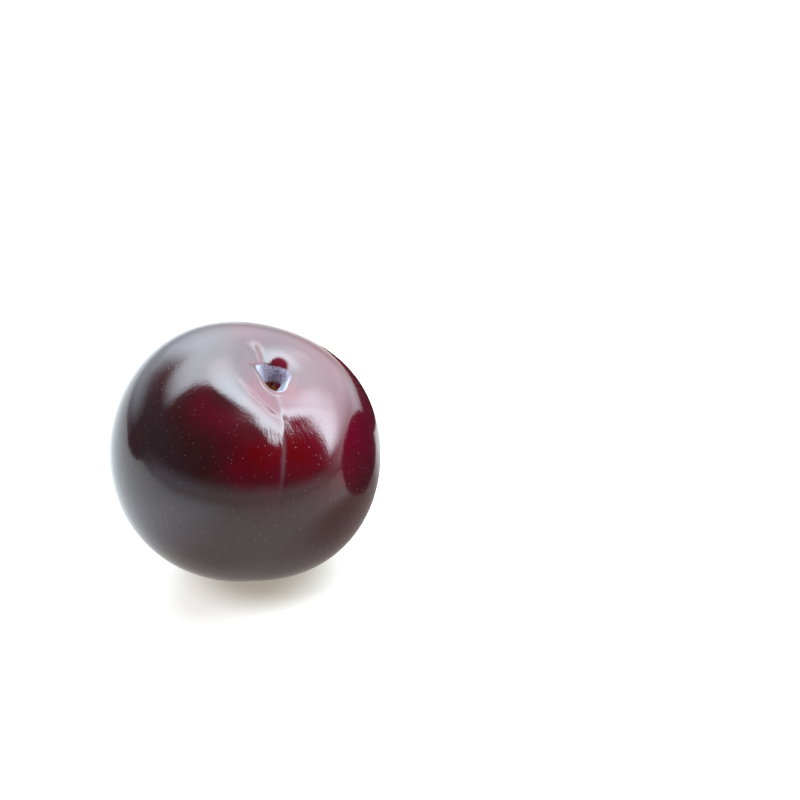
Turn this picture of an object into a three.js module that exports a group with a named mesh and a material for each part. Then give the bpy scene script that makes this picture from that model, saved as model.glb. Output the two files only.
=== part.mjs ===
// A fresh dark plum, 60 mm across, lying on a small flat spot of its skin.
// Units are millimetres, +Z is up, and the origin is the middle of the flat spot.
//
// The fruit is one closed skin. It is worked out in the fruit's own frame: `along` is the stem axis,
// pointing out of the stem cavity, `front` points from that axis towards the suture (the groove that
// runs down one side), and `side` is square to both.

import * as THREE from 'three';

// ---------- sizes ----------

const EQUATOR_RADIUS = 30;      // half the width across the cheeks
const POLE_RADIUS = 26;         // half the height along the stem axis, before the hollows are pressed in
const SHOULDER = 0.02;          // share by which the shoulders stand out from a plain ellipsoid

const LEAN = 22.2;              // degrees from upright to the stem axis
const LEAN_HEADING = -50;       // degrees round from +X to the way the axis leans
const SUTURE_TURN = -22;        // degrees round the stem axis from the lean to the suture
const MIDDLE = new THREE.Vector3(-2.55, 2.3, 26.1);   // middle of the fruit above the flat spot
const FLAT_BLEND = 0.15;        // height over which the skin rolls into the flat spot

// The stem cavity: a steep funnel with a rounded three-cornered mouth, one corner towards the suture.
const CAVITY_RIM = 3.7;
const CAVITY_DEPTH = 4.9;
const CAVITY_CURVE = 1.6;       // 1 is a cone; more gives it a rounder floor
const CAVITY_LONG = 0.15;       // share by which the mouth is longer than round, and the way it is longer
const CAVITY_LONG_TURN = -0.1;
const CAVITY_POINT = 0.115;     // share by which its corners stand out, and the way the first one points
const CAVITY_POINT_TURN = -0.17;
const CAVITY_FRONT = -0.9;      // how far its middle is off the stem axis
const CAVITY_SIDE = 1.85;
const LIP_SHARP = 0.07;         // the lip is sharp most of the way round ...
const LIP_ROUND = 0.6;          // ... and rounder on the side away from the suture
const LIP_ROUND_TURN = 2.8;
const LIP_ROUND_SPREAD = 0.55;
const CAVITY_REACH = [4, 13];   // the rings of the skin change from the cavity's outline to circles here

// The shallow basin round the cavity.
const BASIN_DEPTH = 4.0;
const BASIN_WIDTH = 7.65;
const BASIN_FRONT = -3.2;
const BASIN_SIDE = 4.35;

// The suture: a soft valley, steeper on its left, with a fine crease at its bottom.
const VALLEY_DEPTH = 1.85;
const VALLEY_WIDTH_LEFT = 4.7;
const VALLEY_WIDTH_RIGHT = 10.0;
const VALLEY_START = [-1.3, 8.0];
const VALLEY_FADE_FROM = 0.44;  // radians from the stem end where the valley begins to fade
const VALLEY_FADE = 0.23;
const CREASE_DEPTH = 0.06;
const CREASE_WIDTH = 0.7;
const SUTURE_BOW = 1.2;         // how far it wanders from a straight line

// Low swellings of the skin beside the suture.
const CHEEKS = [
  { forward: 14.7, sideways: -10.8, height: 1.0, width: 4.1 },
  { forward: 13.4, sideways: -0.6, height: 0.3, width: 2.4 },
];

// A short fold opposite the suture, from the cavity's lip to the basin's edge, steeper on its right.
const FOLD_DEPTH = 0.7;
const FOLD_WIDTH_LEFT = 3.5;
const FOLD_WIDTH_RIGHT = 1.6;
const FOLD_SIDE = -0.5;
const FOLD_SLANT = 0.12;
const FOLD_START = 2.2;
const FOLD_END = 12.5;

// The blossom end, under the fruit: a small dimple.
const BLOSSOM_DEPTH = 0.7;
const BLOSSOM_WIDTH = 3.2;

// Slow swells and hollows that make the fruit less than perfectly round.
const SWELLS = [
  { heading: 135, rise: 53, height: 0.45, spread: 0.42 },
  { heading: 60, rise: 58, height: -0.23, spread: 0.35 },
  { heading: 0, rise: 0, height: -0.13, spread: 0.40 },
  { heading: 175, rise: 9, height: -0.28, spread: 0.40 },
  { heading: 207, rise: -41, height: 0.37, spread: 0.42 },
  { heading: -86, rise: -50, height: -0.32, spread: 0.35 },
  { heading: -22, rise: -35, height: 0.30, spread: 0.42 },
  { heading: 18, rise: 30, height: 0.25, spread: 0.35 },
  { heading: 0, rise: -90, height: 0.30, spread: 0.35 },
];

const RINGS = 64;               // rings of the mesh from the stem end to the blossom end
const SECTORS = 80;             // points in each ring
const STEM_END_EXTRA = 3.2;     // how much closer the rings lie at the stem end
const STEM_END_SPREAD = 0.35;

// ---------- small helpers ----------

const radians = THREE.MathUtils.degToRad;
const smooth = THREE.MathUtils.smoothstep;

// A bell: 1 in the middle, falling away over `width`.
function bell(distance, width) {
  return Math.exp(-((distance / width) ** 2));
}

function heading(turn, rise) {
  const level = Math.cos(radians(rise));
  return new THREE.Vector3(
    level * Math.cos(radians(turn)),
    level * Math.sin(radians(turn)),
    Math.sin(radians(rise)),
  );
}

// The fruit's own frame, leaning over its flat spot.
const along = heading(LEAN_HEADING, 90 - LEAN);
const front = heading(LEAN_HEADING, -LEAN).applyAxisAngle(along, radians(SUTURE_TURN));
const side = new THREE.Vector3().crossVectors(along, front);

const swells = SWELLS.map((swell) => ({ ...swell, towards: heading(swell.heading, swell.rise) }));

// ---------- the skin ----------

// Depth of the stem cavity at a ring `out` mm from its middle; `turn` is the way round from the suture.
function cavityDepth(out, turn) {
  const inside = 1 - (out / CAVITY_RIM) ** CAVITY_CURVE;
  const away = 1 - Math.cos(turn - LIP_ROUND_TURN);
  const lip = LIP_SHARP + (LIP_ROUND - LIP_SHARP) * Math.exp(-away / LIP_ROUND_SPREAD ** 2);
  return 0.5 * CAVITY_DEPTH * (inside + Math.hypot(inside, lip));
}

function basinDepth(x, y) {
  return BASIN_DEPTH * bell(Math.hypot(x - BASIN_FRONT, y - BASIN_SIDE), BASIN_WIDTH);
}

// Depth of the suture, which fades from the stem end (`fall` = 0) to the blossom end (`fall` = pi).
function sutureDepth(x, y, fall) {
  const wander = SUTURE_BOW * Math.cos(Math.PI * (x - 10) / 19) * smooth(x, 1, 5);
  const across = y - wander;
  const width = across < 0 ? VALLEY_WIDTH_LEFT : VALLEY_WIDTH_RIGHT;
  const lasting = 0.15 + 0.85 * bell(Math.max(fall - VALLEY_FADE_FROM, 0), VALLEY_FADE);
  const valleyFade = smooth(x, ...VALLEY_START) * lasting;
  const creaseFade = smooth(x, 3.5, 6) * (0.4 + 0.6 * bell(fall, 1.3));
  const crease = Math.exp(-(Math.abs(across / CREASE_WIDTH) ** 1.5));
  return valleyFade * VALLEY_DEPTH * bell(across, width) + creaseFade * CREASE_DEPTH * crease;
}

function foldDepth(x, y) {
  const length = smooth(-x, FOLD_START, FOLD_START + 2.5) * (1 - smooth(-x, FOLD_END - 4, FOLD_END));
  const across = y - FOLD_SIDE - FOLD_SLANT * (x + 6);
  return FOLD_DEPTH * length * bell(across, across < 0 ? FOLD_WIDTH_LEFT : FOLD_WIDTH_RIGHT);
}

function cheekHeight(x, y) {
  let height = 0;
  for (const cheek of CHEEKS) {
    height += cheek.height * bell(Math.hypot(x - cheek.forward, y - cheek.sideways), cheek.width);
  }
  return height;
}

function swellHeight(point) {
  let height = 0;
  for (const swell of swells) {
    height += swell.height * bell(point.angleTo(swell.towards), swell.spread);
  }
  return height;
}

// Rolls the underside into the flat spot at z = 0.
function flatten(z) {
  if (z < -FLAT_BLEND) return 0;
  if (z > FLAT_BLEND) return z;
  return (z + FLAT_BLEND) ** 2 / (4 * FLAT_BLEND);
}

// The skin's point `fall` radians from the stem end, `turn` radians round from the suture.
function skinPoint(fall, turn) {
  const shoulder = 1 + SHOULDER * Math.sin(2 * fall) ** 2;
  const out = EQUATOR_RADIUS * Math.sin(fall) * shoulder;
  const stemEnd = smooth(Math.cos(fall), 0, 0.5);
  const blossomEnd = Math.cos(fall) < 0 ? 1 : 0;

  // Near the stem end the rings take the cavity's outline and share its middle.
  const near = stemEnd * (1 - smooth(out, ...CAVITY_REACH));
  const longer = CAVITY_LONG * Math.cos(2 * (turn - CAVITY_LONG_TURN));
  const outline = longer + CAVITY_POINT * Math.cos(3 * (turn - CAVITY_POINT_TURN));
  const ring = out * (1 + near * outline);
  let x = ring * Math.cos(turn) + near * CAVITY_FRONT;
  let y = ring * Math.sin(turn) + near * CAVITY_SIDE;
  let z = POLE_RADIUS * Math.cos(fall) * shoulder;
  z -= stemEnd * (basinDepth(x, y) + cavityDepth(out, turn));

  // The suture, the fold, the swellings beside it and the blossom end are pressed in or out square to the skin.
  const outwards = new THREE.Vector2(Math.sin(fall) / EQUATOR_RADIUS, Math.cos(fall) / POLE_RADIUS);
  outwards.normalize();
  let pressed = sutureDepth(x, y, fall) + stemEnd * (foldDepth(x, y) - cheekHeight(x, y));
  pressed += blossomEnd * BLOSSOM_DEPTH * bell(out, BLOSSOM_WIDTH);
  x -= pressed * outwards.x * Math.cos(turn);
  y -= pressed * outwards.x * Math.sin(turn);
  z -= pressed * outwards.y;

  const point = new THREE.Vector3();
  point.addScaledVector(front, x).addScaledVector(side, y).addScaledVector(along, z);
  point.setLength(point.length() + swellHeight(point));
  point.add(MIDDLE);
  point.z = flatten(point.z);
  return point;
}

// ---------- the mesh ----------

// Angles of the rings: even steps along the skin, closer together at the stem end.
function ringAngles() {
  const steps = 2000;
  const reached = [0];
  let before = skinPoint(0, 2.2);
  for (let step = 1; step <= steps; step++) {
    const fall = Math.PI * step / steps;
    const here = skinPoint(fall, 2.2);
    const closeness = 1 + STEM_END_EXTRA * bell(fall, STEM_END_SPREAD);
    reached.push(reached[step - 1] + closeness * here.distanceTo(before));
    before = here;
  }
  const angles = [];
  let step = 0;
  for (let ring = 0; ring <= RINGS; ring++) {
    const wanted = reached[steps] * ring / RINGS;
    while (step < steps && reached[step] < wanted) step++;
    angles.push(Math.PI * step / steps);
  }
  return angles;
}

function plumGeometry() {
  const angles = ringAngles();
  const corners = [skinPoint(0, 0)];
  for (let ring = 1; ring < RINGS; ring++) {
    for (let sector = 0; sector < SECTORS; sector++) {
      corners.push(skinPoint(angles[ring], 2 * Math.PI * sector / SECTORS));
    }
  }
  corners.push(skinPoint(Math.PI, 0));

  const corner = (ring, sector) => 1 + (ring - 1) * SECTORS + sector % SECTORS;
  const last = corners.length - 1;
  const faces = [];
  for (let sector = 0; sector < SECTORS; sector++) {
    faces.push(0, corner(1, sector), corner(1, sector + 1));
    for (let ring = 1; ring < RINGS - 1; ring++) {
      const a = corner(ring, sector);
      const b = corner(ring + 1, sector);
      const c = corner(ring + 1, sector + 1);
      const d = corner(ring, sector + 1);
      faces.push(a, b, c, a, c, d);
    }
    faces.push(last, corner(RINGS - 1, sector + 1), corner(RINGS - 1, sector));
  }

  const geometry = new THREE.BufferGeometry();
  geometry.setAttribute('position', new THREE.Float32BufferAttribute(corners.flatMap((p) => p.toArray()), 3));
  geometry.setIndex(faces);
  geometry.computeVertexNormals();
  return geometry;
}

const skin = new THREE.MeshStandardMaterial({ color: 0x4a0f1c, roughness: 0.24, metalness: 0 });
const plum = new THREE.Mesh(plumGeometry(), skin);
plum.name = 'plum';

const part = new THREE.Group();
part.name = 'plum_part';
part.add(plum);

export default part;
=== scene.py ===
"""A fresh dark plum on a pale floor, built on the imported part.

Lengths in the plum's formula are millimetres.
"""

import math

import bpy
import numpy as np
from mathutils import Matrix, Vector


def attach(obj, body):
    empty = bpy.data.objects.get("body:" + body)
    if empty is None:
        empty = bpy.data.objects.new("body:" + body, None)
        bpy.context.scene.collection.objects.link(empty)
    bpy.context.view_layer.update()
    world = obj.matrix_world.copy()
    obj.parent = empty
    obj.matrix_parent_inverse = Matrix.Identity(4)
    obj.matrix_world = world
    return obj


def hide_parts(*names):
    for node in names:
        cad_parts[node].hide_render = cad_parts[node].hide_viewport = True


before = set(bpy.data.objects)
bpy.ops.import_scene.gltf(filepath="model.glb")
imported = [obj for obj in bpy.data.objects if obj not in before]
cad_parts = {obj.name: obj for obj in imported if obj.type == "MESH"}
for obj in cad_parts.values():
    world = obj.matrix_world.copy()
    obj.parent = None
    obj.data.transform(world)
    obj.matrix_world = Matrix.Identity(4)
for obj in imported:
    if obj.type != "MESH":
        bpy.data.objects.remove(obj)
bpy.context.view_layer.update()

MM = 0.001

# ---------- sizes of the fruit: the same skin as in the CAD part, on a finer mesh ----------

EQUATOR_RADIUS = 30.0
POLE_RADIUS = 26.0
SHOULDER = 0.02
LEAN = 22.2
LEAN_HEADING = -50.0
SUTURE_TURN = -22.0
MIDDLE = (-2.55, 2.3, 26.1)
FLAT_BLEND = 0.15

CAVITY_RIM = 3.7
CAVITY_DEPTH = 4.9
CAVITY_CURVE = 1.6
CAVITY_LONG = 0.15
CAVITY_LONG_TURN = -0.1
CAVITY_POINT = 0.115
CAVITY_POINT_TURN = -0.17
CAVITY_FRONT = -0.9
CAVITY_SIDE = 1.85
LIP_SHARP = 0.07
LIP_ROUND = 0.6
LIP_ROUND_TURN = 2.8
LIP_ROUND_SPREAD = 0.55
CAVITY_REACH = (4.0, 13.0)

BASIN_DEPTH = 4.0
BASIN_WIDTH = 7.65
BASIN_FRONT = -3.2
BASIN_SIDE = 4.35

VALLEY_DEPTH = 1.85
VALLEY_WIDTH_LEFT = 4.7
VALLEY_WIDTH_RIGHT = 10.0
VALLEY_START = (-1.3, 8.0)
VALLEY_FADE_FROM = 0.44
VALLEY_FADE = 0.23
CREASE_DEPTH = 0.06
CREASE_WIDTH = 0.7
SUTURE_BOW = 1.2

# forward, sideways, height and width in mm
CHEEKS = (
    (14.7, -10.8, 1.0, 4.1),
    (13.4, -0.6, 0.3, 2.4),
)

FOLD_DEPTH = 0.7
FOLD_WIDTH_LEFT = 3.5
FOLD_WIDTH_RIGHT = 1.6
FOLD_SIDE = -0.5
FOLD_SLANT = 0.12
FOLD_START = 2.2
FOLD_END = 12.5
BLOSSOM_DEPTH = 0.7
BLOSSOM_WIDTH = 3.2

# a fine wrinkle round the left of the basin: a small step along an arc, which the CAD part leaves out
WRINKLE_STEP = -0.27
WRINKLE_MIDDLE = (-6.0, 16.0)
WRINKLE_RADIUS = 23.5
WRINKLE_FADE = 4.0
# and a thin raised edge on the near lip of the stem cavity, which the CAD part leaves out too
EDGE_HEIGHT = 0.17
EDGE_AT = 4.7
EDGE_WIDTH = 0.30
EDGE_TURN = -1.1
EDGE_SPREAD = 0.7

# heading and rise in degrees, height in mm, spread in radians
SWELLS = (
    (135, 53, 0.45, 0.42),
    (60, 58, -0.23, 0.35),
    (0, 0, -0.13, 0.40),
    (175, 9, -0.28, 0.40),
    (207, -41, 0.37, 0.42),
    (-86, -50, -0.32, 0.35),
    (-22, -35, 0.30, 0.42),
    (18, 30, 0.25, 0.35),
    (0, -90, 0.30, 0.35),
)

RINGS = 240
SECTORS = 384
# how much closer the rings lie at the stem end, and the sectors at the suture
STEM_END_EXTRA = 5.0
STEM_END_SPREAD = 0.35
SUTURE_EXTRA = 0.6
SPACING_TURN = 2.2          # the rings are even steps along the skin this way round


def bell(distance, width):
    return np.exp(-((distance / width) ** 2))


def smooth(value, low, high):
    t = np.clip((value - low) / (high - low), 0, 1)
    return t * t * (3 - 2 * t)


def heading(turn, rise):
    turn, rise = math.radians(turn), math.radians(rise)
    return np.array([math.cos(rise) * math.cos(turn), math.cos(rise) * math.sin(turn), math.sin(rise)])


ALONG = heading(LEAN_HEADING, 90 - LEAN)
DOWNHILL = heading(LEAN_HEADING, -LEAN)
SUTURE_ANGLE = math.radians(SUTURE_TURN)
FRONT = math.cos(SUTURE_ANGLE) * DOWNHILL + math.sin(SUTURE_ANGLE) * np.cross(ALONG, DOWNHILL)
SIDE = np.cross(ALONG, FRONT)


def cavity_depth(out, turn):
    inside = 1 - (out / CAVITY_RIM) ** CAVITY_CURVE
    away = 1 - np.cos(turn - LIP_ROUND_TURN)
    lip = LIP_SHARP + (LIP_ROUND - LIP_SHARP) * np.exp(-away / LIP_ROUND_SPREAD**2)
    return 0.5 * CAVITY_DEPTH * (inside + np.hypot(inside, lip))


def basin_depth(x, y):
    return BASIN_DEPTH * bell(np.hypot(x - BASIN_FRONT, y - BASIN_SIDE), BASIN_WIDTH)


def across_suture(x, y):
    wander = SUTURE_BOW * np.cos(math.pi * (x - 10) / 19) * smooth(x, 1, 5)
    return y - wander


def suture_depth(x, y, fall):
    across = across_suture(x, y)
    width = np.where(across < 0, VALLEY_WIDTH_LEFT, VALLEY_WIDTH_RIGHT)
    lasting = 0.15 + 0.85 * bell(np.maximum(fall - VALLEY_FADE_FROM, 0), VALLEY_FADE)
    valley_fade = smooth(x, *VALLEY_START) * lasting
    crease_fade = smooth(x, 3.5, 6) * (0.4 + 0.6 * bell(fall, 1.3))
    crease = np.exp(-(np.abs(across / CREASE_WIDTH) ** 1.5))
    return valley_fade * VALLEY_DEPTH * bell(across, width) + crease_fade * CREASE_DEPTH * crease


def fold_depth(x, y):
    length = smooth(-x, FOLD_START, FOLD_START + 2.5) * (1 - smooth(-x, FOLD_END - 4, FOLD_END))
    across = y - FOLD_SIDE - FOLD_SLANT * (x + 6)
    width = np.where(across < 0, FOLD_WIDTH_LEFT, FOLD_WIDTH_RIGHT)
    return FOLD_DEPTH * length * bell(across, width)


def cheek_height(x, y):
    total = 0
    for forward, sideways, height, width in CHEEKS:
        total = total + height * bell(np.hypot(x - forward, y - sideways), width)
    return total


def wrinkle(x, y):
    """How far inside the wrinkle's arc a place is, and how strong the wrinkle is there."""
    inside = WRINKLE_RADIUS - np.hypot(x - WRINKLE_MIDDLE[0], y - WRINKLE_MIDDLE[1])
    return inside, smooth(x, -2, 6) * (1 - smooth(x, 9.5, 12)) * (1 - smooth(y, -1, 4))


def wrinkle_depth(x, y):
    inside, strength = wrinkle(x, y)
    fading = np.exp(-np.maximum(inside, 0) / WRINKLE_FADE)
    return WRINKLE_STEP * strength * smooth(inside, -0.7, 0.7) * fading


def edge_height(out, turn):
    along = np.exp(-(1 - np.cos(turn - EDGE_TURN)) / EDGE_SPREAD**2)
    return EDGE_HEIGHT * along * bell(out - EDGE_AT, EDGE_WIDTH)


def flatten(z):
    rolled = (z + FLAT_BLEND) ** 2 / (4 * FLAT_BLEND)
    return np.where(z < -FLAT_BLEND, 0, np.where(z > FLAT_BLEND, z, rolled))


def skin(fall, turn):
    """The skin's points in mm, in the row frame.

    It also gives each point's own place before the fruit is leant over: x, y and distance from the stem axis.
    """
    shoulder = 1 + SHOULDER * np.sin(2 * fall) ** 2
    out = EQUATOR_RADIUS * np.sin(fall) * shoulder
    stem_end = smooth(np.cos(fall), 0, 0.5)
    near = stem_end * (1 - smooth(out, *CAVITY_REACH))
    outline = CAVITY_LONG * np.cos(2 * (turn - CAVITY_LONG_TURN))
    outline = outline + CAVITY_POINT * np.cos(3 * (turn - CAVITY_POINT_TURN))
    ring = out * (1 + near * outline)
    x = ring * np.cos(turn) + near * CAVITY_FRONT
    y = ring * np.sin(turn) + near * CAVITY_SIDE
    z = POLE_RADIUS * np.cos(fall) * shoulder
    z = z - stem_end * (basin_depth(x, y) + cavity_depth(out, turn))
    own = np.stack([x, y, out], axis=-1)

    tilt = np.arctan2(np.sin(fall) / EQUATOR_RADIUS, np.cos(fall) / POLE_RADIUS)
    pressed = suture_depth(x, y, fall) + stem_end * (fold_depth(x, y) - cheek_height(x, y))
    pressed = pressed + stem_end * (wrinkle_depth(x, y) - edge_height(out, turn))
    pressed = pressed + (np.cos(fall) < 0) * BLOSSOM_DEPTH * bell(out, BLOSSOM_WIDTH)
    x = x - pressed * np.sin(tilt) * np.cos(turn)
    y = y - pressed * np.sin(tilt) * np.sin(turn)
    z = z - pressed * np.cos(tilt)

    points = x[..., None] * FRONT + y[..., None] * SIDE + z[..., None] * ALONG
    length = np.linalg.norm(points, axis=-1)
    height = np.zeros_like(length)
    for turn_to, rise, swell, spread in SWELLS:
        angle = np.arccos(np.clip(points @ heading(turn_to, rise) / length, -1, 1))
        height = height + swell * bell(angle, spread)
    points = points * (1 + height / length)[..., None] + np.array(MIDDLE)
    points[..., 2] = flatten(points[..., 2])
    return points, own


def ring_angles():
    """Even steps along the skin, closer together at the stem end."""
    fall = np.linspace(0, math.pi, 6001)
    points, _ = skin(fall, np.full_like(fall, SPACING_TURN))
    steps = np.linalg.norm(np.diff(points, axis=0), axis=1)
    closeness = 1 + STEM_END_EXTRA * bell(fall[1:], STEM_END_SPREAD)
    reached = np.concatenate([[0], np.cumsum(steps * closeness)])
    return np.interp(np.linspace(0, reached[-1], RINGS + 1), reached, fall)


def build_plum():
    even = np.arange(SECTORS) * 2 * math.pi / SECTORS
    turns = even - SUTURE_EXTRA * np.sin(even)
    falls = ring_angles()
    fall, turn = np.meshgrid(falls[1:-1], turns, indexing="ij")
    body, own = skin(fall, turn)
    ends, own_ends = skin(np.array([0.0, math.pi]), np.zeros(2))
    points = np.concatenate([ends[:1], body.reshape(-1, 3), ends[1:]]) * MM
    own = np.concatenate([own_ends[:1], own.reshape(-1, 3), own_ends[1:]])

    def corner(ring, sector):
        return 1 + (ring - 1) * SECTORS + sector % SECTORS

    last = len(points) - 1
    faces = []
    for sector in range(SECTORS):
        faces.append((0, corner(1, sector), corner(1, sector + 1)))
        for ring in range(1, RINGS - 1):
            below = ring + 1
            near, far = sector, sector + 1
            faces.append((corner(ring, near), corner(below, near), corner(below, far), corner(ring, far)))
        faces.append((last, corner(RINGS - 1, sector + 1), corner(RINGS - 1, sector)))

    mesh = bpy.data.meshes.new("plum_fruit")
    mesh.from_pydata([tuple(p) for p in points], [], faces)
    mesh.polygons.foreach_set("use_smooth", [True] * len(mesh.polygons))
    mesh.update()
    return mesh, points / MM, own


plum_mesh, skin_points, own_places = build_plum()
plum = bpy.data.objects.new("plum_fruit", plum_mesh)
bpy.context.scene.collection.objects.link(plum)
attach(plum, "root")
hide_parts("plum")


# ---------- a small helper that turns arithmetic into shader nodes ----------


def calc(operation, *values):
    """A Math node on Values and plain numbers."""
    tree = next(value.tree for value in values if isinstance(value, Value))
    node = tree.nodes.new("ShaderNodeMath")
    node.operation = operation
    for slot, value in enumerate(values):
        if isinstance(value, Value):
            tree.links.new(value.socket, node.inputs[slot])
        else:
            node.inputs[slot].default_value = value
    return Value(tree, node.outputs[0])


class Value:
    """A number inside a node tree: arithmetic on it makes the nodes."""

    def __init__(self, tree, socket):
        self.tree = tree
        self.socket = socket

    def __add__(self, other):
        return calc("ADD", self, other)

    def __sub__(self, other):
        return calc("SUBTRACT", self, other)

    def __rsub__(self, other):
        return calc("SUBTRACT", other, self)

    def __mul__(self, other):
        return calc("MULTIPLY", self, other)

    def __truediv__(self, other):
        return calc("DIVIDE", self, other)

    def __rtruediv__(self, other):
        return calc("DIVIDE", other, self)

    def rise(self, low, high):
        """0 below `low`, 1 above `high`, smooth between."""
        node = self.tree.nodes.new("ShaderNodeMapRange")
        node.interpolation_type = "SMOOTHSTEP"
        self.tree.links.new(self.socket, node.inputs["Value"])
        node.inputs["From Min"].default_value = low
        node.inputs["From Max"].default_value = high
        return Value(self.tree, node.outputs["Result"])

    def fall(self, low, high):
        return 1.0 - self.rise(low, high)

    def bell(self, middle, width):
        offset = (self - middle) * (1.0 / width)
        return calc("EXPONENT", offset * offset * -1.0)


def distance_from(tree, point):
    """How far a surface point is from a point of the object, in metres."""
    place = tree.nodes.new("ShaderNodeTexCoord")
    node = tree.nodes.new("ShaderNodeVectorMath")
    node.operation = "DISTANCE"
    tree.links.new(place.outputs["Object"], node.inputs[0])
    node.inputs[1].default_value = point
    return Value(tree, node.outputs["Value"])


def mix_colours(tree, amount, under, over):
    node = tree.nodes.new("ShaderNodeMix")
    node.data_type = "RGBA"
    tree.links.new(amount.socket, node.inputs["Factor"])
    for slot, colour in ((6, under), (7, over)):
        if isinstance(colour, tuple):
            node.inputs[slot].default_value = (*colour, 1)
        else:
            tree.links.new(colour, node.inputs[slot])
    return node.outputs[2]


# ---------- light: a big soft light above and behind, a white sweep behind, a dark room in front ----------

LIGHT_COLOUR = (0.86, 0.98, 1.08)
LEAST_RISE = 0.04           # a lower direction counts as this high, so that none meets the light too far away
BACKDROP_STRENGTH = 1.05    # what the camera sees behind the floor
LIGHT_STRENGTH = 8.8
LIGHT_FADE = 0.45           # how fast the big light fades away from its front edge
LIGHT_SLANT = 0.23          # how that edge slants back from right to left
LIGHT_EDGE = 0.18
LIGHT_BEND_FROM = -0.4      # left of this the edge turns forward again
LIGHT_BEND = 0.45
BAND_STRENGTH = (0.5, 7.5)  # the bright band along the edge: everywhere, and added on the right
SECOND_BAND = 3.0
SWEEP_STRENGTH = 1.3
SIDE_PANEL = 2.5
LOW_FRONT = 1.1
FAR_LEFT = 0.8
REAR_LEFT = 0.9
ROOM_STRENGTH = 0.05


def build_world():
    world = bpy.data.worlds.new("studio")
    bpy.context.scene.world = world
    world.use_nodes = True
    tree = world.node_tree
    tree.nodes.clear()
    place = tree.nodes.new("ShaderNodeTexCoord")
    split = tree.nodes.new("ShaderNodeSeparateXYZ")
    tree.links.new(place.outputs["Generated"], split.inputs[0])
    x, y, z = (Value(tree, split.outputs[i]) for i in range(3))

    # where a direction meets a level plane overhead: how far across it and how far back
    height = calc("MAXIMUM", z, LEAST_RISE)
    across = x / height
    back = y / height
    bent = calc("MAXIMUM", LIGHT_BEND_FROM - across, 0.0)
    past_edge = back + across * LIGHT_SLANT - LIGHT_EDGE + bent * LIGHT_BEND
    # on the left the light ends in a tail near the front, and behind that along a slant
    tail = (back - across).fall(1.35, 2.1) * across.rise(-1.25, -0.4)
    rear = (across + back * 0.5).rise(-0.52, 0.15)
    lit = past_edge.rise(-0.07, 0.08) * calc("MAXIMUM", tail, rear)
    lit = lit * across.fall(1.2, 3.4) * z.rise(0.05, 0.25)
    main = LIGHT_STRENGTH / (past_edge * past_edge * LIGHT_FADE + 1.0)
    front_band = past_edge.bell(0.15, 0.28) * (across.rise(-0.4, 0.3) * BAND_STRENGTH[1] + BAND_STRENGTH[0])
    front_band = front_band + past_edge.bell(0.5, 0.25) * across.rise(0.5, 1.1) * SECOND_BAND

    # fainter lights low down: behind, on the right, in front, and two on the left
    sweep = y.rise(0.25, 0.85) * z.fall(0.1, 0.9) * SWEEP_STRENGTH
    side_panel = x.rise(0.25, 0.7) * y.rise(-0.35, 0.2)
    side_panel = side_panel * z.rise(-0.05, 0.15) * z.fall(0.2, 0.65) * SIDE_PANEL
    low_front = z.fall(-0.05, 0.28) * y.fall(-0.45, 0.05) * LOW_FRONT
    far_left = x.fall(-0.85, -0.4) * y.rise(0.25, 0.5)
    far_left = far_left * z.rise(0.08, 0.18) * z.fall(0.28, 0.45) * FAR_LEFT
    rear_left = x.rise(-0.66, -0.57) * x.fall(-0.5, -0.38) * y.rise(0.5, 0.75)
    rear_left = rear_left * z.rise(0.2, 0.3) * z.fall(0.45, 0.7) * REAR_LEFT
    faint = sweep + side_panel + low_front + far_left + rear_left
    total = lit * (main + front_band) + faint + ROOM_STRENGTH

    light = tree.nodes.new("ShaderNodeBackground")
    light.inputs["Color"].default_value = (*LIGHT_COLOUR, 1)
    tree.links.new(total.socket, light.inputs["Strength"])
    backdrop = tree.nodes.new("ShaderNodeBackground")
    backdrop.inputs["Color"].default_value = (1, 1, 1, 1)
    backdrop.inputs["Strength"].default_value = BACKDROP_STRENGTH
    path = tree.nodes.new("ShaderNodeLightPath")
    mix = tree.nodes.new("ShaderNodeMixShader")
    output = tree.nodes.new("ShaderNodeOutputWorld")
    tree.links.new(path.outputs["Is Camera Ray"], mix.inputs[0])
    tree.links.new(light.outputs[0], mix.inputs[1])
    tree.links.new(backdrop.outputs[0], mix.inputs[2])
    tree.links.new(mix.outputs[0], output.inputs[0])
    world.cycles.sampling_method = "MANUAL"
    world.cycles.sample_map_resolution = 1024


build_world()

# ---------- floor ----------

FLOOR_REACH = 3.0           # metres
FLOOR_COLOUR = (0.53, 0.51, 0.48)
# The floor glows a little, a painted light that lightens the fruit's shadow further from it: less under the
# fruit, more on the left, hardly at all far in front.
# Where each change starts and ends is in metres.
GLOW = (0.78, 0.76, 0.73)
GLOW_UNDER_FRUIT = (0.36, 0.32, 0.265)
UNDER_FRUIT_MIDDLE = (0.006, 0.0, 0.0)
UNDER_FRUIT_ENDS = (0.013, 0.027)
GLOW_LEFT = (1.80, 2.10, 2.25)
LEFT_STARTS = (-0.060, -0.012)
GLOW_IN_FRONT = (0.05, 0.04, 0.04)
FRONT_STARTS = (-0.26, -0.03)


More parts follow.
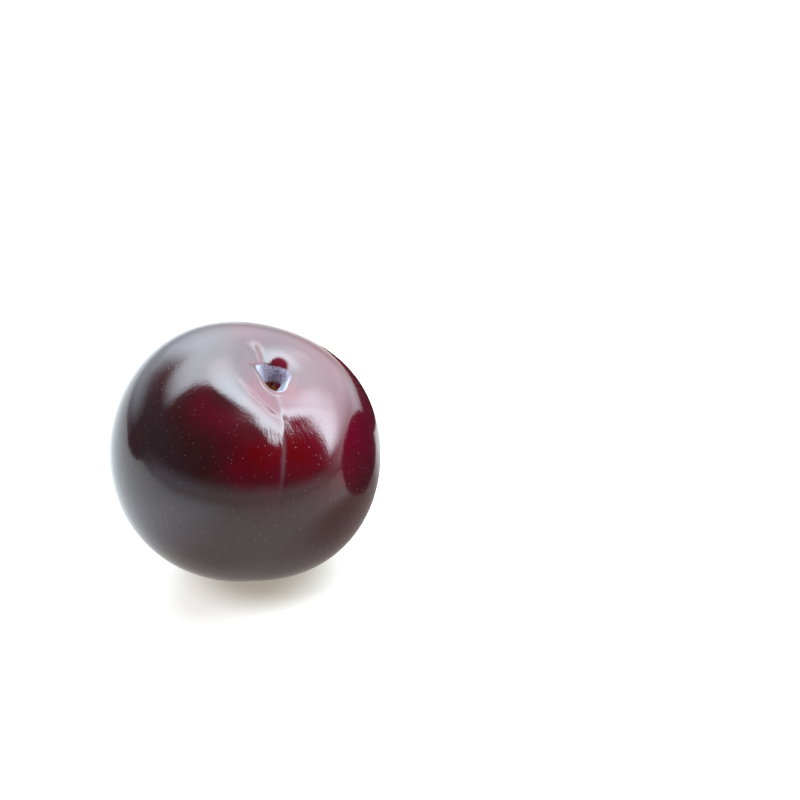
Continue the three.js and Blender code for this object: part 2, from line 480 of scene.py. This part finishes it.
def build_floor():
    mesh = bpy.data.meshes.new("floor")
    near, far = -FLOOR_REACH, FLOOR_REACH
    corners = [(near, near, 0), (far, near, 0), (far, far, 0), (near, far, 0)]
    mesh.from_pydata(corners, [], [(0, 1, 2, 3)])
    floor = bpy.data.objects.new("floor", mesh)
    bpy.context.scene.collection.objects.link(floor)
    material = bpy.data.materials.new("floor")
    material.use_nodes = True
    tree = material.node_tree
    shader = tree.nodes["Principled BSDF"]
    shader.inputs["Base Color"].default_value = (*FLOOR_COLOUR, 1)
    shader.inputs["Roughness"].default_value = 0.6
    shader.inputs["Specular IOR Level"].default_value = 0.2
    away = distance_from(tree, UNDER_FRUIT_MIDDLE).rise(*UNDER_FRUIT_ENDS)
    glow = mix_colours(tree, away, GLOW_UNDER_FRUIT, GLOW)
    place = tree.nodes.new("ShaderNodeTexCoord")
    split = tree.nodes.new("ShaderNodeSeparateXYZ")
    tree.links.new(place.outputs["Object"], split.inputs[0])
    left = Value(tree, split.outputs[0]).fall(*LEFT_STARTS)
    glow = mix_colours(tree, left, glow, GLOW_LEFT)
    front = Value(tree, split.outputs[1]).fall(*FRONT_STARTS)
    glow = mix_colours(tree, front, glow, GLOW_IN_FRONT)
    tree.links.new(glow, shader.inputs["Emission Color"])
    shader.inputs["Emission Strength"].default_value = 1.0
    mesh.materials.append(material)


build_floor()

# Low dark cards stand out of shot, to the right, behind and far to the left, and a grey one lies on the
# floor. Only the skin's reflections show them: they keep those sides of the fruit deep in colour.
# Each dark card has its middle, radius and half height in mm.
DARK_CARDS = (
    ((66.0, 9.0, 25.5), 27.5, 25.5),
    ((42.0, 52.0, 28.0), 28.0, 12.0),
    ((-420.0, 60.0, 36.0), 90.0, 36.0),
)
DARK_CARD_GLOW = (0.05, 0.012, 0.018)
SHADE_MIDDLE = (43.0, 2.0, 0.5)
SHADE_RADIUS = 3000.0
SHADE_COLOUR = (0.43, 0.39, 0.365)
# how much of what lies under the grey card it hides: everywhere, added near its middle, and added far away
SHADE_EVERYWHERE = 0.43
SHADE_NEAR = 0.57
SHADE_NEAR_ENDS = (0.019, 0.056)    # metres, as is the next
SHADE_FAR = 0.1
SHADE_FAR_STARTS = (0.12, 0.5)


def only_in_reflections(piece):
    piece.visible_camera = False
    piece.visible_shadow = False
    piece.visible_diffuse = False


def build_dark_cards():
    material = bpy.data.materials.new("dark_card")
    material.use_nodes = True
    shader = material.node_tree.nodes["Principled BSDF"]
    shader.inputs["Base Color"].default_value = (0, 0, 0, 1)
    shader.inputs["Specular IOR Level"].default_value = 0
    shader.inputs["Emission Color"].default_value = (*DARK_CARD_GLOW, 1)
    shader.inputs["Emission Strength"].default_value = 1.0
    for place, radius, half_height in DARK_CARDS:
        bpy.ops.mesh.primitive_uv_sphere_add(segments=48, ring_count=24, radius=radius * MM)
        card = bpy.context.object
        card.name = "dark_card"
        card.location = Vector(place) * MM
        card.scale = (1, 1, half_height / radius)
        card.data.polygons.foreach_set("use_smooth", [True] * len(card.data.polygons))
        card.data.materials.append(material)
        only_in_reflections(card)


def build_shade():
    bpy.ops.mesh.primitive_circle_add(vertices=64, radius=SHADE_RADIUS * MM, fill_type="NGON")
    shade = bpy.context.object
    shade.name = "shade"
    shade.location = Vector(SHADE_MIDDLE) * MM
    material = bpy.data.materials.new("shade")
    material.use_nodes = True
    tree = material.node_tree
    tree.nodes.clear()
    clear = tree.nodes.new("ShaderNodeBsdfTransparent")
    grey = tree.nodes.new("ShaderNodeEmission")
    grey.inputs["Color"].default_value = (*SHADE_COLOUR, 1)
    blend = tree.nodes.new("ShaderNodeMixShader")
    output = tree.nodes.new("ShaderNodeOutputMaterial")
    away = distance_from(tree, (0, 0, 0))
    near = away.fall(*SHADE_NEAR_ENDS) * SHADE_NEAR
    amount = near + away.rise(*SHADE_FAR_STARTS) * SHADE_FAR + SHADE_EVERYWHERE
    tree.links.new(amount.socket, blend.inputs[0])
    tree.links.new(clear.outputs[0], blend.inputs[1])
    tree.links.new(grey.outputs[0], blend.inputs[2])
    tree.links.new(blend.outputs[0], output.inputs[0])
    shade.data.materials.append(material)
    only_in_reflections(shade)


build_dark_cards()
build_shade()

# ---------- the skin's material ----------

# angle from the stem, turn from the suture and spread in radians, and how red
FLUSH_SPOTS = (
    (0.68, 0.3, 0.42, 0.6),
    (0.8, 1.1, 0.45, 0.8),
    (0.58, -1.1, 0.30, 0.7),
    (0.18, 0.0, 0.22, 0.9),
    (0.55, 2.2, 0.4, 0.55),
    (0.62, -3.0, 0.25, 0.48),
    (0.9, -0.4, 0.3, 0.55),
    (0.75, -1.9, 0.3, 0.2),
    (1.3, 2.4, 0.6, 0.5),
    (0.3, -2.1, 0.25, 0.3),
    (1.4, 0.4, 0.5, 0.15),
    (0.4, -1.1, 0.16, -0.4),
)
# the same for the two brightest red places, either side of the suture
WARM_SPOTS = (
    (0.77, -0.3, 0.16),
    (0.74, 0.17, 0.16),
)
# and for the rosy place on the cavity's right
BLUSH_SPOT = (0.30, 0.85, 0.14)


def skin_fields():
    """How red, how bloomed, how scarred and so on the skin is at each of its points.

    Each goes from 0 to 1, except "stem", which is the angle from the stem in radians.
    """
    x, y, out = own_places.T
    beyond = skin_points - np.array(MIDDLE)
    beyond = beyond / np.linalg.norm(beyond, axis=1)[:, None]
    stem = np.arccos(np.clip(beyond @ ALONG, -1, 1))
    turn = np.arctan2(beyond @ SIDE, beyond @ FRONT)
    on_stem_half = stem < 1.4

    def spot(stem_angle, turn_angle, spread):
        centre = (
            math.cos(stem_angle) * ALONG
            + math.sin(stem_angle) * (math.cos(turn_angle) * FRONT + math.sin(turn_angle) * SIDE)
        )
        return bell(np.arccos(np.clip(beyond @ centre, -1, 1)), spread)

    flush = sum(red * spot(*place) for *place, red in FLUSH_SPOTS)
    above_mouth = on_stem_half * bell(np.hypot(x + 5.8, y - 4.8), 1.8)
    flush = np.clip(flush + 0.6 * above_mouth, 0, 1)
    blush = np.clip(spot(*BLUSH_SPOT) + 0.6 * above_mouth, 0, 1)
    # painted shade: the skin is painted darker towards the fruit's right side, as though shaded there
    painted_right_shade = smooth(beyond[:, 0], 0.70, 0.94)
    warm = np.clip(sum(spot(*place) for place in WARM_SPOTS), 0, 1)

    # The stem cavity: a tan scar at the bottom, dark red above it, then grey bloom up to and past the rim.
    around = np.arctan2(y - CAVITY_SIDE, x - CAVITY_FRONT)

    def towards(degrees, spread):
        return bell(2 * np.sin((around - math.radians(degrees)) / 2), math.radians(spread))

    rim = CAVITY_RIM * (1.19 + 0.11 * towards(140, 25) - 0.24 * towards(-55, 65))
    foot = CAVITY_RIM * (0.69 - 0.2 * towards(40, 30) - 0.17 * towards(-160, 35))
    inside = on_stem_half * (1 - smooth(out, rim - 0.3, rim + 0.3))
    bloom = inside * smooth(out, foot - 0.25, foot + 0.3)
    # paler, bluer bloom on two walls of the cavity: partly the bloom's own colour, partly painted light where
    # the light falls on those walls
    bloom_and_painted_light = np.clip(towards(52, 30) + towards(-148, 13), 0, 1)
    scar = on_stem_half * (1 - smooth(out, 0.43 * CAVITY_RIM, 0.53 * CAVITY_RIM))
    # painted shade: a thin dark line along the cavity's near lip, where its edge would be in shadow
    lip = on_stem_half * bell(out / CAVITY_RIM - 1.24, 0.06) * towards(-75, 60)

    # Painted shade in pink, in the creases: along the wrinkle, along the fold, at the cavity's left corner
    # and on its right side.
    inside_arc, strength = wrinkle(x, y)
    crease_shade = strength * bell(inside_arc - 0.2, 1.0)
    crease_shade = crease_shade + bell(y - 0.2, 0.8) * smooth(-x, 4.5, 6) * (1 - smooth(-x, 10, 12.5))
    crease_shade = crease_shade + 0.75 * bell(np.hypot(x + 4.9, (y + 1.4) / 1.6), 1.25)
    crease_shade = on_stem_half * (crease_shade + 0.9 * bell(out - 5.7, 0.6) * towards(60, 30))
    seam = bell(across_suture(x, y), 0.45) * smooth(x, 5, 8) * (1 - smooth(stem, 0.8, 1.1))
    return {
        "flush": flush,
        "blush": blush,
        "painted_right_shade": painted_right_shade,
        "warm": warm,
        "lip": lip,
        "stem": stem,
        "inside": inside,
        "bloom": bloom,
        "bloom_and_painted_light": bloom_and_painted_light,
        "scar": scar,
        "seam": seam,
        "crease_shade": np.clip(crease_shade, 0, 1),
    }


GRAIN_ROUND = 18
GRAIN_DOWN = 9


def grain_places():
    """The way round the fruit and down it, scaled so that a noise over them runs in streaks down it."""
    beyond = skin_points - np.array(MIDDLE)
    stem = np.arccos(np.clip(beyond @ ALONG / np.linalg.norm(beyond, axis=1), -1, 1))
    turn = np.arctan2(beyond @ SIDE, beyond @ FRONT)
    return np.stack([GRAIN_ROUND * np.cos(turn), GRAIN_ROUND * np.sin(turn), GRAIN_DOWN * stem], axis=1)


# colours of the skin
BLACK = (0.026, 0.012, 0.014)
BROWN = (0.032, 0.006, 0.007)
BLUSH = (0.12, 0.012, 0.02)
# dark red of the painted shade on the fruit's right side
PAINTED_SHADE_RED = (0.022, 0.0003, 0.004)
# dark of the painted shade line along the cavity's near lip
LIP_SHADE = (0.03, 0.012, 0.015)
CRIMSON = (0.085, 0.0008, 0.0085)
RED = (0.080, 0.0008, 0.0015)
BLOOM = (0.26, 0.23, 0.31)
# the cavity's bloom with painted light on it
BLOOM_AND_PAINTED_LIGHT = (0.29, 0.33, 0.39)
DEEP_RED = (0.085, 0.001, 0.002)
SCAR = (0.17, 0.085, 0.008)
DOTS = (0.20, 0.15, 0.15)
SEAM = (0.10, 0.045, 0.055)
# pink of the painted shade in the creases
CREASE_SHADE = (0.12, 0.015, 0.025)

# in mm: how far apart the dots are, and how high the relief is
DOT_SPACING = 1.16
DOT_HEIGHT = 0.012
STREAK_HEIGHT = 0.017
FINE_HEIGHT = 0.007
COARSE_HEIGHT = 0.011
DOT_EDGE = (0.07, 0.16)     # shares of the spacing

SKIN_IOR = 1.47
BASE_ROUGHNESS = 0.065
# how much rougher the skin is there
ROUGHER = {"bloom": 0.45, "inside": 0.1, "lip": 0.5, "crease_shade": 0.28, "painted_right_shade": 0.05}


def paint_plum():
    material = bpy.data.materials.new("plum_skin")
    material.use_nodes = True
    tree = material.node_tree
    shader = tree.nodes["Principled BSDF"]
    for name, values in skin_fields().items():
        attribute = plum_mesh.attributes.new(name, "FLOAT", "POINT")
        attribute.data.foreach_set("value", values.astype(np.float32))
    attribute = plum_mesh.attributes.new("grain", "FLOAT_VECTOR", "POINT")
    attribute.data.foreach_set("vector", grain_places().astype(np.float32).ravel())

    def field(name):
        node = tree.nodes.new("ShaderNodeAttribute")
        node.attribute_name = name
        return Value(tree, node.outputs["Fac"])

    place = tree.nodes.new("ShaderNodeTexCoord").outputs["Object"]
    grain = tree.nodes.new("ShaderNodeAttribute")
    grain.attribute_name = "grain"

    def noise(size, detail=2.0, roughness=0.5, where=None):
        """Soft noise with lumps of a size in mm, or in the units of `where`."""
        node = tree.nodes.new("ShaderNodeTexNoise")
        node.inputs["Scale"].default_value = 1.0 / size if where else 1.0 / (size * MM)
        node.inputs["Detail"].default_value = detail
        node.inputs["Roughness"].default_value = roughness
        tree.links.new(where or place, node.inputs["Vector"])
        return Value(tree, node.outputs["Fac"])

    def cells(size):
        """How far a place is from the middle of its cell, in cells of a size in mm."""
        node = tree.nodes.new("ShaderNodeTexVoronoi")
        node.inputs["Scale"].default_value = 1.0 / (size * MM)
        tree.links.new(place, node.inputs["Vector"])
        return Value(tree, node.outputs["Distance"])

    cloud = noise(9.0, 3.0, 0.55)
    flush = field("flush") + (cloud - 0.5) * 0.5
    dots = cells(DOT_SPACING).fall(*DOT_EDGE) * noise(6.0).rise(0.32, 0.52)
    dots = dots * field("stem").rise(0.4, 0.8)
    speckle = noise(0.5, 3.0, 0.65).rise(0.50, 0.62)
    streaks = noise(0.7, 2.0, 0.6, grain.outputs["Vector"])
    # how much of each colour lies over the ones before it
    layers = (
        (flush.rise(0.0, 0.35), BROWN),
        (flush.rise(0.3, 0.95), CRIMSON),
        (field("warm") * flush.rise(0.4, 0.8), RED),
        # painted shade on the right side
        (field("painted_right_shade") * 0.6, PAINTED_SHADE_RED),
        (field("blush") * 0.8, BLUSH),
        # painted shade in the creases
        (field("crease_shade") * 0.75, CREASE_SHADE),
        (field("seam") * 0.75, SEAM),
        (dots * 0.34, DOTS),
        # painted shade line along the cavity's near lip
        (field("lip"), LIP_SHADE),
        (field("inside"), DEEP_RED),
        (field("bloom") * (1.0 - speckle * 0.7), BLOOM),
        # bloom with painted light on two of the cavity's walls
        (field("bloom") * field("bloom_and_painted_light") * (1.0 - speckle * 0.3), BLOOM_AND_PAINTED_LIGHT),
        (field("scar") * noise(0.35, 2.0).rise(0.42, 0.55), SCAR),
    )
    colour = BLACK
    for amount, over in layers:
        colour = mix_colours(tree, amount, colour, over)
    tree.links.new(colour, shader.inputs["Base Color"])

    rough = noise(3.0, 2.0) * 0.04 + flush.fall(0.2, 0.8) * 0.03 + BASE_ROUGHNESS
    for name, amount in ROUGHER.items():
        rough = rough + field(name) * amount
    tree.links.new(rough.socket, shader.inputs["Roughness"])
    shader.inputs["IOR"].default_value = SKIN_IOR

    relief = streaks * STREAK_HEIGHT + noise(0.5, 1.0) * FINE_HEIGHT
    relief = relief + noise(2.0, 1.0) * COARSE_HEIGHT + dots * DOT_HEIGHT
    bump = tree.nodes.new("ShaderNodeBump")
    bump.inputs["Distance"].default_value = MM
    bump.inputs["Strength"].default_value = 1.0
    tree.links.new(relief.socket, bump.inputs["Height"])
    tree.links.new(bump.outputs["Normal"], shader.inputs["Normal"])
    plum_mesh.materials.append(material)


paint_plum()

# ---------- camera ----------

CAMERA_RISE = 28.0          # degrees that the camera looks down
LENS = 97.0
SENSOR = 36.0
CAMERA_FROM_MIDDLE = (0.0340, -0.4128, 0.2323)      # metres


def build_camera():
    data = bpy.data.cameras.new("camera")
    data.sensor_width = SENSOR
    data.lens = LENS
    data.clip_start = 0.01
    camera = bpy.data.objects.new("camera", data)
    camera.location = Vector(MIDDLE) * MM + Vector(CAMERA_FROM_MIDDLE)
    camera.rotation_euler = (math.radians(90 - CAMERA_RISE), 0, 0)
    bpy.context.scene.collection.objects.link(camera)
    bpy.context.scene.camera = camera


build_camera()
bpy.context.scene.view_settings.view_transform = "Standard"
